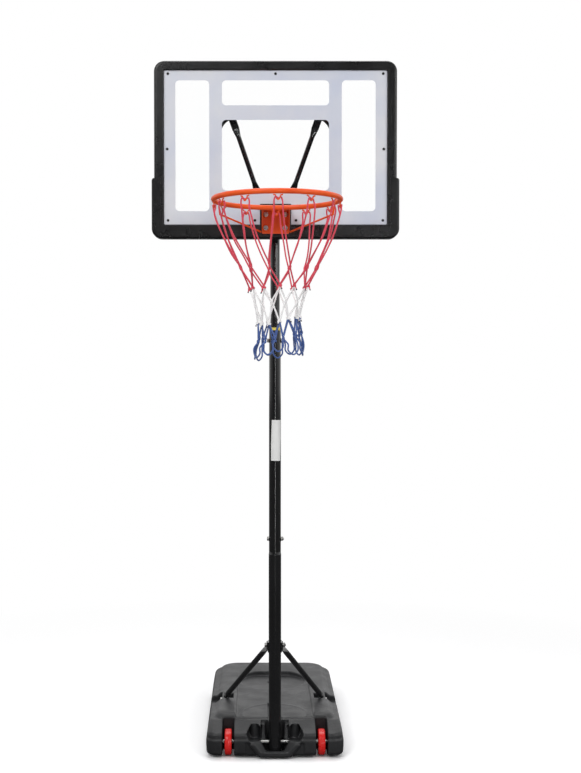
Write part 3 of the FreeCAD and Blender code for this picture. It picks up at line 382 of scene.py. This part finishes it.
def soft_copy(node, name, voxel, passes, keep):
    """A soft-edged moulding made from a CAD piece: remeshed, smoothed, then thinned."""
    source = NODES[node]
    obj = bpy.data.objects.new(name, source.data.copy())
    bpy.context.scene.collection.objects.link(obj)
    work = bmesh.new()
    work.from_mesh(obj.data)
    bmesh.ops.remove_doubles(work, verts=work.verts, dist=SAME_POINT)
    work.to_mesh(obj.data)
    work.free()
    remesh = obj.modifiers.new("remesh", "REMESH")
    remesh.mode = "VOXEL"
    remesh.voxel_size = voxel
    smooth = obj.modifiers.new("smooth", "SMOOTH")
    smooth.factor = 0.5
    smooth.iterations = passes
    thin = obj.modifiers.new("thin", "DECIMATE")
    thin.ratio = keep
    bpy.context.view_layer.update()
    graph = bpy.context.evaluated_depsgraph_get()
    final = bpy.data.meshes.new_from_object(obj.evaluated_get(graph))
    obj.modifiers.clear()
    obj.data = final
    for polygon in final.polygons:
        polygon.use_smooth = True
    return obj


def base_tank():
    obj = soft_copy("base_tank", "tank_moulding", VOXEL, SMOOTH_PASSES, FACES_KEPT)
    set_material(obj, MATERIALS["tank_plastic"])
    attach(obj, "base")
    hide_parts("base_tank")


# ---------------------------------------------------------------- cords
def mesh_object(name, verts, faces, material, body):
    mesh = bpy.data.meshes.new(name)
    mesh.from_pydata(verts, [], faces)
    mesh.update()
    for polygon in mesh.polygons:
        polygon.use_smooth = True
    obj = bpy.data.objects.new(name, mesh)
    bpy.context.scene.collection.objects.link(obj)
    set_material(obj, material)
    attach(obj, body)
    return obj


class Cords:
    """Collects twisted cords of one colour into one mesh."""
    SIDES, STRANDS, PITCH, LAY = 12, 3, 0.0022, 0.017       # LAY is the length of one full twist
    CORE, BULGE, TIP = 0.86, 0.16, 0.5                      # in cord radii

    def __init__(self):
        self.verts, self.faces = [], []

    def add(self, points, radius=CORD_R):
        path = even_points(points, self.PITCH)
        last = len(path) - 1
        along = [(path[min(i + 1, last)] - path[max(i - 1, 0)]).normalized() for i in range(last + 1)]
        side = along[0].orthogonal().normalized()
        first = len(self.verts)
        length = 0.0
        for i, centre in enumerate(path):
            if i:
                length += (centre - path[i - 1]).length
                side = (side - along[i] * side.dot(along[i])).normalized()
            up = along[i].cross(side)
            for k in range(self.SIDES):
                a = 2 * math.pi * k / self.SIDES
                bulge = abs(math.sin(self.STRANDS * (a - 2 * math.pi * length / self.LAY) / 2))
                r = radius * (self.CORE + self.BULGE * bulge)
                self.verts.append(centre + side * (r * math.cos(a)) + up * (r * math.sin(a)))
        n = self.SIDES
        for i in range(last):
            for k in range(n):
                a = first + i * n + k
                b = first + i * n + (k + 1) % n
                self.faces.append((a, b, b + n, a + n))
        for ring, sign in ((0, -1), (last, 1)):
            tip = len(self.verts)
            self.verts.append(path[ring] + along[ring] * (sign * radius * self.TIP))
            for k in range(n):
                a, b = first + ring * n + k, first + ring * n + (k + 1) % n
                self.faces.append((a, b, tip) if sign > 0 else (b, a, tip))


def even_points(points, pitch):
    """A smooth curve through the points (Catmull-Rom), cut to steps of nearly equal length."""
    ends = [points[0] * 2 - points[1]] + list(points) + [points[-1] * 2 - points[-2]]
    fine = []
    for i in range(1, len(ends) - 2):
        p0, p1, p2, p3 = ends[i - 1:i + 3]
        steps = max(2, int((p2 - p1).length / (pitch * 0.5)))
        for s in range(steps):
            t = s / steps
            fine.append(0.5 * (2 * p1 + (p2 - p0) * t + (2 * p0 - 5 * p1 + 4 * p2 - p3) * t * t
                               + (3 * p1 - p0 - 3 * p2 + p3) * t ** 3))
    fine.append(points[-1].copy())
    out, run = [fine[0]], 0.0
    for a, b in zip(fine, fine[1:]):
        run += (b - a).length
        if run >= pitch:
            out.append(b)
            run = 0.0
    if (out[-1] - fine[-1]).length > pitch * 0.3:
        out.append(fine[-1])
    return out


def around(angle, radius, z):
    """A point of the net. Angle 0 is the ring's front. The slack lower part leans a little to the right."""
    hang = min(1.0, max(0.0, (RING_CENTRE.z - z) / LEAN_DROP))
    return RING_CENTRE + Vector((math.sin(angle) * radius + LEAN * hang, -math.cos(angle) * radius,
                                 z - RING_CENTRE.z))


def net_nodes():
    """Where the cords meet, row by row, a little uneven as a hanging net is."""
    nodes = []
    for row, (z, radius, half, tilt) in enumerate(ROWS):
        loose = 0.0 if row == HOOK_ROW else LOOSE_FIRST + LOOSE_MORE * row
        places = []
        for k in range(HOOKS):
            angle = (k + half / 2) * STEP
            places.append((angle + rng.uniform(-1, 1) * loose * STEP * LOOSE_TURN,
                           radius + rng.uniform(-1, 1) * loose * LOOSE_RADIUS,
                           z + tilt * math.sin(angle) + rng.uniform(-1, 1) * loose * LOOSE_HEIGHT))
        nodes.append(places)
    return nodes


def node_at(nodes, row, step):
    """The crossing in a row, counted in half steps round the ring."""
    half = ROWS[row][2]
    index = (step - half) // 2
    angle, radius, z = nodes[row][index % HOOKS]
    return angle + (index // HOOKS) * 2 * math.pi, radius, z


def crossing(nodes, row, step, hand):
    """Points of one of the two cords as they twist half a turn round each other at a crossing."""
    angle, radius, z = node_at(nodes, row, step)
    out = []
    gap, slope, tight = CORD_R * CROSSING_GAP, SLOPES[row], TIGHT[row]
    for share in (-1.0, -0.5, 0.0, 0.5, 1.0):
        turn = math.pi * (share + 1) / 2
        across = -hand * math.cos(turn) * gap
        depth = hand * math.sin(turn) * gap * (1 if row % 2 else -1)
        down = share * tight
        out.append(around(angle + across / radius, radius + depth - down * slope, z - down))
    return out


def out_from(point):
    flat = Vector((point.x - RING_CENTRE.x, point.y - RING_CENTRE.y, 0))
    return flat.normalized()


def over_hook(angle, radius):
    """The cord over one hook, in front of its wire on one side and behind it on the other."""
    left = [around(angle - x / radius, radius + out, HOOK_FOOT + up) for x, up, out in HOOK_BEND]
    right = [around(angle + x / radius, radius - out, HOOK_FOOT + up) for x, up, out in reversed(HOOK_BEND)]
    return left + [around(angle, radius, HOOK_FOOT + HOOK_WIRE_R + CORD_R + HOOK_GAP)] + right


def leg(angle, hand):
    """The slack upper run from a hook down to the first crossing, which bows outwards."""
    sway = rng.uniform(-1, 1) * LEG_SWAY
    return [around(angle + hand * STEP * turn + sway * share, radius + rng.uniform(-1, 1) * LEG_WANDER, z)
            for z, radius, turn, share in LEG_ROWS]


def rope_net():
    nodes = net_nodes()
    cords = {colour: Cords() for colour in CORDS}
    for k in range(HOOKS):
        angle, radius, _ = node_at(nodes, HOOK_ROW, 2 * k)
        runs = {hand: cord_rows(nodes, 2 * k, hand) for hand in (1, -1)}
        left = list(reversed(leg(angle, -1) + runs[-1][0]))
        cords["red"].add(left + over_hook(angle, radius) + leg(angle, 1) + runs[1][0])
        for hand in (1, -1):
            cords["white"].add(runs[hand][1])
    loops(nodes, cords)
    knots(nodes, cords)
    for colour, cord in cords.items():
        name = "net_" + ("burnt_ends" if colour == "burnt" else colour)
        mesh_object(name, cord.verts, cord.faces, CORDS[colour], "upper")
    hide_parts("net")


def cord_rows(nodes, step, hand):
    """The red and the white run of the cord that leaves a hook one way round."""
    red, white = [], []
    for row in range(HOOK_ROW + 1, WHITE_KNOTS + 1):
        twist = crossing(nodes, row, step + hand * row, hand)
        if row < RED_KNOTS:
            red += twist
        elif row == RED_KNOTS:
            red += twist[:3]
            white += twist[2:]
        elif row < WHITE_KNOTS:
            white += twist
        else:
            white += twist[:3]
    return red, white


def loops(nodes, cords):
    """The blue cords: from each white knot they cross once and join in a hanging loop."""
    for k in range(HOOKS):
        step = 2 * k
        sides = []
        for hand in (1, -1):
            top = crossing(nodes, WHITE_KNOTS, step - 2 * hand, hand)[2:]
            sides.append(top + crossing(nodes, LOOP_CROSSINGS, step - hand, hand))
        angle, radius, z = node_at(nodes, LOOP_ENDS, step)
        width = LOOP_HALF_W + rng.uniform(-LOOP_HALF_W_VARIES, LOOP_HALF_W_VARIES)
        low = z + rng.uniform(LOOP_LOWER, LOOP_HIGHER)
        skew = rng.uniform(-LOOP_SKEW, LOOP_SKEW)
        bottom = [around(angle + (share * width + skew) / radius, radius + LOOP_OUT, low + up)
                  for share, up in LOOP_SHAPE]
        cords["blue"].add(sides[0] + bottom + list(reversed(sides[1])))


def knots(nodes, cords):
    """Small wrapped knots where the colours change, each with a short dark melted end."""
    for row, colour in ((RED_KNOTS, "red"), (WHITE_KNOTS, "white")):
        for k in range(HOOKS):
            angle, radius, z = node_at(nodes, row, 2 * k)
            cords[colour].add(knot_wrap(angle, radius, z), CORD_R * KNOT_CORD)
            start, end = knot_tail(angle, radius, z)
            bend = start.lerp(end, 0.5) + out_from(start) * TAIL_BEND
            cords[colour].add([start, bend, end], CORD_R * TAIL_CORD)
            cords["burnt"].add([end, end.lerp(start, -0.25), end.lerp(start, -0.55)], CORD_R * BURNT_CORD)


def knot_wrap(angle, radius, z):
    """Nearly one and a half turns of cord round a knot, on a slant."""
    tilt = rng.uniform(-KNOT_TILT, KNOT_TILT)
    wrap = []
    for i in range(KNOT_POINTS):
        a = 2 * math.pi * i / KNOT_TURN_POINTS
        lift = (i / (KNOT_POINTS - 1.0) - 0.5) * CORD_R * KNOT_HEIGHT
        u, v = math.cos(a) * CORD_R * KNOT_HALF_W, math.sin(a) * CORD_R * KNOT_HALF_DEPTH
        wrap.append(around(angle + u / radius, radius + v, z + lift + tilt * u))
    return wrap


def knot_tail(angle, radius, z):
    """Where a knot's cut end starts and stops, to one side of it."""
    hand = rng.choice((-1, 1))
    side, out, down = TAIL_START
    start = around(angle + hand * side / radius, radius + out, z - down)
    end = around(angle + hand * rng.uniform(*TAIL_SIDE) / radius, radius + TAIL_OUT,
                 z - rng.uniform(*TAIL_DROP))
    return start, end


# ---------------------------------------------------------------- stage
def stage():
    bpy.ops.mesh.primitive_plane_add(size=FLOOR_SIZE, location=(0, 0, 0))
    floor = bpy.context.object
    floor.name = "studio_floor"
    floor.data.materials.append(floor_paint())
    studio_world()
    for name, settings in SOFTBOXES.items():
        softbox(name, *settings)


def studio_world():
    """White to the camera, dim as a light, and uneven in reflections."""
    world = bpy.data.worlds.new("studio")
    bpy.context.scene.world = world
    world.use_nodes = True
    tree = world.node_tree
    tree.nodes.clear()
    path = tree.nodes.new("ShaderNodeLightPath")
    levels = {}
    for name, level in (("seen", 1.0), ("lit", WORLD_LIT), ("mirrored", 1.0)):
        levels[name] = tree.nodes.new("ShaderNodeBackground")
        levels[name].inputs["Color"].default_value = (1, 1, 1, 1)
        levels[name].inputs["Strength"].default_value = level
    tree.links.new(mirrored_level(tree), levels["mirrored"].inputs["Strength"])
    inner = tree.nodes.new("ShaderNodeMixShader")
    outer = tree.nodes.new("ShaderNodeMixShader")
    out = tree.nodes.new("ShaderNodeOutputWorld")
    tree.links.new(path.outputs["Is Glossy Ray"], inner.inputs[0])
    tree.links.new(levels["lit"].outputs[0], inner.inputs[1])
    tree.links.new(levels["mirrored"].outputs[0], inner.inputs[2])
    tree.links.new(path.outputs["Is Camera Ray"], outer.inputs[0])
    tree.links.new(inner.outputs[0], outer.inputs[1])
    tree.links.new(levels["seen"].outputs[0], outer.inputs[2])
    tree.links.new(outer.outputs[0], out.inputs["Surface"])


def mirrored_level(tree):
    """What glossy surfaces see: dark in front, pale behind and on both sides, and a little to the right."""
    facing = tree.nodes.new("ShaderNodeTexCoord")
    parts = tree.nodes.new("ShaderNodeSeparateXYZ")
    tree.links.new(facing.outputs["Generated"], parts.inputs[0])
    side = tree.nodes.new("ShaderNodeMath")
    side.operation = "ABSOLUTE"
    tree.links.new(parts.outputs["X"], side.inputs[0])
    total = None
    for source, (start, end, level) in ((parts.outputs["Y"], BACK_MIRRORED),
                                        (side.outputs[0], SIDE_MIRRORED),
                                        (parts.outputs["X"], RIGHT_MIRRORED)):
        ramp = tree.nodes.new("ShaderNodeMapRange")
        for key, item in (("From Min", start), ("From Max", end), ("To Min", 0.0), ("To Max", level)):
            ramp.inputs[key].default_value = item
        tree.links.new(source, ramp.inputs["Value"])
        add = tree.nodes.new("ShaderNodeMath")
        add.operation = "ADD"
        add.inputs[0].default_value = FRONT_MIRRORED
        if total:
            tree.links.new(total, add.inputs[0])
        tree.links.new(ramp.outputs[0], add.inputs[1])
        total = add.outputs[0]
    return total


def floor_paint():
    """Pale floor that takes soft shadows near the hoop and fades to white away from it."""
    p = Paint("studio_floor", (0.96, 0.96, 0.965), 0.7, Specular_IOR_Level=0.1)
    p.mottle((0.94, 0.94, 0.95), 0.8, 0.5).rough(2.0, 0.05).grain(40.0, 0.0002)
    lifted = p.node("ShaderNodeVectorMath", operation="SCALE")
    path = p.node("ShaderNodeLightPath")
    p.link(p.colour, lifted.inputs[0])
    level = p.spread(path.outputs["Is Camera Ray"], 0, 1, FLOOR_BOUNCE, FLOOR_SEEN)
    p.link(p.math("MULTIPLY", level, p.spread(path.outputs["Is Glossy Ray"], 0, 1, 1.0, FLOOR_MIRRORED)),
           lifted.inputs["Scale"])
    p.colour = lifted.outputs[0]
    made = p.done()
    away = p.node("ShaderNodeVectorMath", operation="LENGTH")
    p.link(p.place, away.inputs[0])
    faded = p.spread(away.outputs["Value"], FADE_FROM, FADE_TO)
    far = p.math("MULTIPLY", faded, path.outputs["Is Camera Ray"])
    white = p.node("ShaderNodeEmission")
    mix = p.node("ShaderNodeMixShader")
    p.link(far, mix.inputs[0])
    p.link(p.shader.outputs[0], mix.inputs[1])
    p.link(white.outputs[0], mix.inputs[2])
    p.link(mix.outputs[0], p.output.inputs["Surface"])
    return made


def softbox(name, place, aim, width, height, power):
    light = bpy.data.lights.new(name, "AREA")
    light.shape = "RECTANGLE"
    light.size, light.size_y, light.energy = width, height, power
    obj = bpy.data.objects.new(name, light)
    bpy.context.scene.collection.objects.link(obj)
    obj.location = place
    obj.rotation_euler = (Vector(aim) - Vector(place)).to_track_quat("-Z", "Y").to_euler()
    obj.visible_camera = False


def camera():
    data = bpy.data.cameras.new("camera")
    data.lens, data.sensor_width, data.shift_x = LENS, SENSOR, SHIFT_X
    obj = bpy.data.objects.new("camera", data)
    bpy.context.scene.collection.objects.link(obj)
    obj.location = CAMERA_PLACE
    obj.rotation_euler = (math.radians(90 - CAMERA_DOWN), 0, 0)
    bpy.context.scene.camera = obj
    bpy.context.scene.view_settings.view_transform = "Standard"


dress_cad()
base_tank()
rope_net()
stage()
camera()
